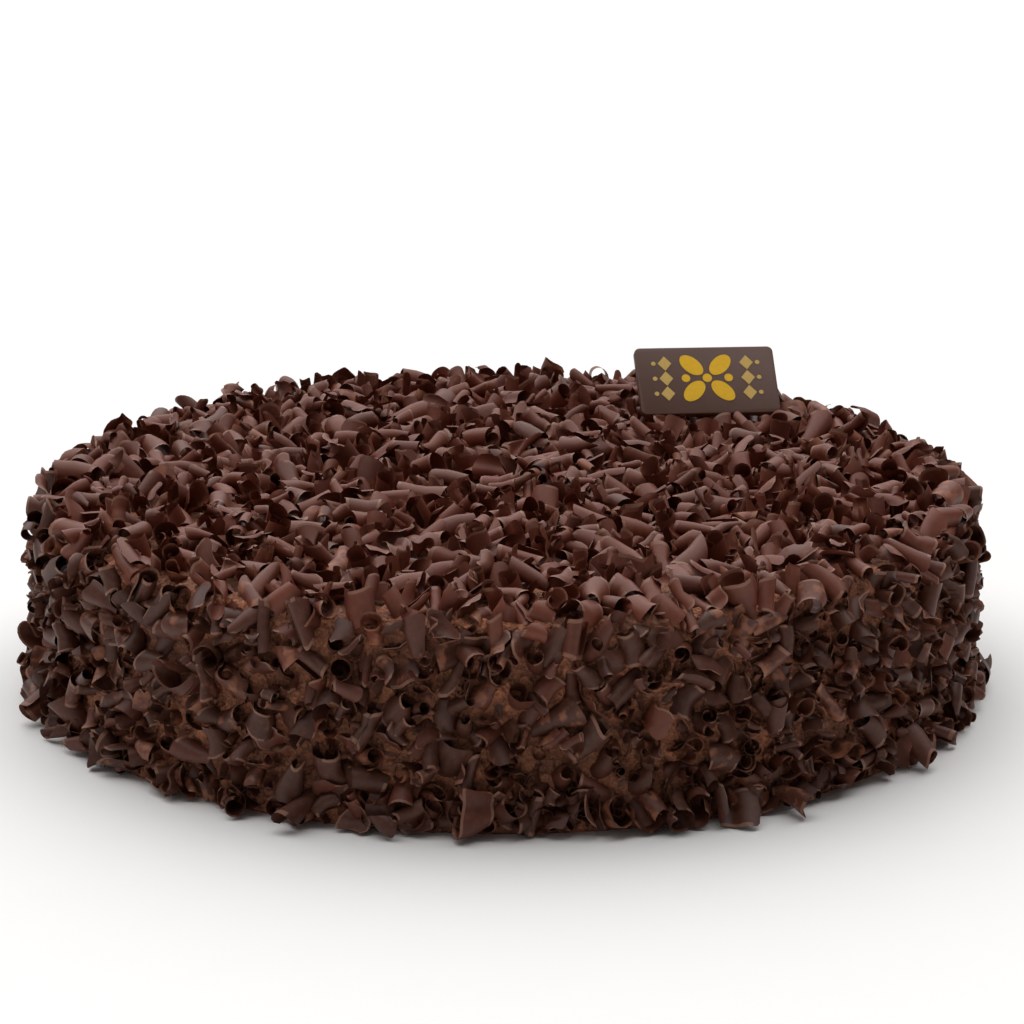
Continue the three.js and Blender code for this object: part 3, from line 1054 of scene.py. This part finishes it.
def cream_surface(settings):
    return Turned(*(getattr(settings, name) / MM for name in Turned._fields))


def cream_profile(surface):
    """Radius and height of the rings from the middle of the underside to that of the top."""
    flat, ledge = surface.flat, surface.ledge
    profile = [(flat * share, 0.0) for share in UNDERSIDE_RINGS]
    for k in range(SIDE_RINGS):
        height = ledge * k / SIDE_RINGS
        profile.append((surface.radius + surface.spread * (1 - height / ledge), height))
    for k in range(SHOULDER_RINGS + 1):
        rise = QUARTER_TURN * k / SHOULDER_RINGS
        way = np.array([math.cos(rise), math.sin(rise)])
        profile.append((flat, ledge) + surface.shoulder * way)
    for k in range(TOP_RINGS - 1, -1, -1):
        profile.append((flat * (k / TOP_RINGS) ** TOP_RING_CURVE, surface.height))
    return profile


class GATEAU_OT_cream(bpy.types.Operator):
    """Cocoa cream spread over the whole cake"""

    bl_idname = "gateau.cream"
    bl_label = "Cream"

    def execute(self, context):
        settings = context.scene.gateau_cream
        bm = bmesh.new()
        profile = cream_profile(cream_surface(settings))
        verts = [bm.verts.new((radius, 0, height)) for radius, height in profile]
        edges = [bm.edges.new(pair) for pair in zip(verts, verts[1:])]
        bmesh.ops.spin(
            bm, geom=verts + edges, cent=(0, 0, 0), axis=(0, 0, 1), angle=FULL_TURN, steps=720,
            use_merge=True,
        )
        bmesh.ops.remove_doubles(bm, verts=bm.verts[:], dist=1e-4)
        bm.normal_update()
        depth = settings.relief / MM
        for vert in bm.verts:
            if vert.co.z > UNDERSIDE:
                sweep = noise.noise(vert.co / KNIFE_MARK)
                crumbs = noise.turbulence(vert.co / FOAM_CRUMB, FOAM_OCTAVES, True)
                out = depth * (KNIFE_PART * sweep + FOAM_PART * (crumbs - FOAM_MEAN))
                vert.co += vert.normal * out
                vert.co.z = max(vert.co.z, CREAM_FOOT)
        piece = object_from_bmesh(bm, "cream", cocoa_cream(settings), 60)
        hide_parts("cake")
        return {"FINISHED"}


class GATEAU_OT_curls(bpy.types.Operator):
    """Dark chocolate curls over the top and side, and the crumbs between them"""

    bl_idname = "gateau.curls"
    bl_label = "Curls and crumbs"

    def execute(self, context):
        scene = context.scene
        settings = scene.gateau_curls
        cream = cream_surface(scene.gateau_cream)
        lies, shapes, coat, rng = lay_curls(settings, cream, scene.gateau_plaque)
        material = shaved_chocolate(settings, scene.gateau_cream.colour)
        for kind in KINDS:
            heap = Heap("curls_" + kind.name)
            for lie in lies:
                upward = lie.outward[2]
                # Curls that face up are painted lighter and those on the side darker, as painted light
                # and shade, with a random scatter
                tone_and_shade = np.clip(rng.normal(between(SHADED_SIDE_LIT_TOP_TONE, upward), TONE_SCATTER), 0, 1)
                smeared = SIDE_SMEARED if upward < STEEP else TOP_SMEARED
                smear = rng.uniform(*SMEAR) if rng.random() < smeared else 0.0
                if lie.kind != kind.name:
                    continue
                shape = shapes[lie.kind, lie.variant]
                points = lie_down(shape.points, shape.middle, lie)
                points[:, 2] += max(0.0, FLOOR_GAP - points[:, 2].min())
                heap.add(points, shape.faces, tone_and_shade, smear, shape.cut)
            heap.make_piece(material)
        add_crumbs(settings, coat, material, rng)
        return {"FINISHED"}


class GATEAU_OT_plaque(bpy.types.Operator):
    """Moulded chocolate plate with a plain printed ornament"""

    bl_idname = "gateau.plaque"
    bl_label = "Plaque"

    def execute(self, context):
        settings = context.scene.gateau_plaque
        add_plate(settings)
        add_print(settings)
        return {"FINISHED"}


class GATEAU_OT_stage(bpy.types.Operator):
    """Pale table, soft studio light and camera"""

    bl_idname = "gateau.stage"
    bl_label = "Stage"

    def execute(self, context):
        scene = context.scene
        settings = scene.gateau_stage
        bm = bmesh.new()
        bmesh.ops.create_grid(bm, x_segments=8, y_segments=8, size=TABLE_REACH)
        mesh = bpy.data.meshes.new("table_top")
        bm.to_mesh(mesh)
        bm.free()
        mesh.materials.append(table_top(settings))
        shown("table_top", mesh)

        world = bpy.data.worlds.new("soft surround")
        world.use_nodes = True
        background = world.node_tree.nodes["Background"].inputs
        background["Color"].default_value, background["Strength"].default_value = SURROUND
        scene.world = world
        for name, strength, width, turns in SUNS:
            data = bpy.data.lights.new(name, "SUN")
            data.energy = strength
            data.angle = math.radians(width)
            shown(name, data).rotation_euler = [math.radians(turn) for turn in turns]

        # It looks a little above the cake's middle, so the cake stands low in the frame
        distance, rise = settings.distance, settings.elevation
        camera_data = bpy.data.cameras.new("camera")
        camera_data.lens = settings.lens
        camera_data.sensor_width = 36
        camera = shown("camera", camera_data)
        camera.location = (0, -distance * math.cos(rise), distance * math.sin(rise) + ORBIT_HEIGHT)
        camera.rotation_euler = (QUARTER_TURN - CAMERA_PITCH, 0, -CAMERA_YAW)
        scene.camera = camera
        scene.view_settings.view_transform = "Standard"
        return {"FINISHED"}


class GATEAU_PT_panel(bpy.types.Panel):
    """The gateau's pieces"""

    bl_idname = "GATEAU_PT_panel"
    bl_label = "Gateau"
    bl_space_type = "VIEW_3D"
    bl_region_type = "UI"
    bl_category = "Gateau"

    def draw(self, context):
        for name, operator in zip(SETTINGS, OPERATORS):
            box = self.layout.box()
            settings = getattr(context.scene, name)
            for prop in settings.bl_rna.properties:
                if prop.identifier not in ("rna_type", "name"):
                    box.prop(settings, prop.identifier)
            box.operator(operator.bl_idname)


SETTINGS = {
    "gateau_cream": CreamSettings,
    "gateau_curls": CurlSettings,
    "gateau_plaque": PlaqueSettings,
    "gateau_stage": StageSettings,
}
OPERATORS = (GATEAU_OT_cream, GATEAU_OT_curls, GATEAU_OT_plaque, GATEAU_OT_stage)
CLASSES = (*SETTINGS.values(), *OPERATORS, GATEAU_PT_panel)


def register():
    for cls in CLASSES:
        bpy.utils.register_class(cls)
    for name, group in SETTINGS.items():
        setattr(bpy.types.Scene, name, PointerProperty(type=group))


def unregister():
    for name in SETTINGS:
        delattr(bpy.types.Scene, name)
    for cls in reversed(CLASSES):
        bpy.utils.unregister_class(cls)


def main():
    register()
    bpy.ops.gateau.stage()
    bpy.ops.gateau.cream()
    bpy.ops.gateau.curls()
    bpy.ops.gateau.plaque()


if __name__ == "__main__":
    main()
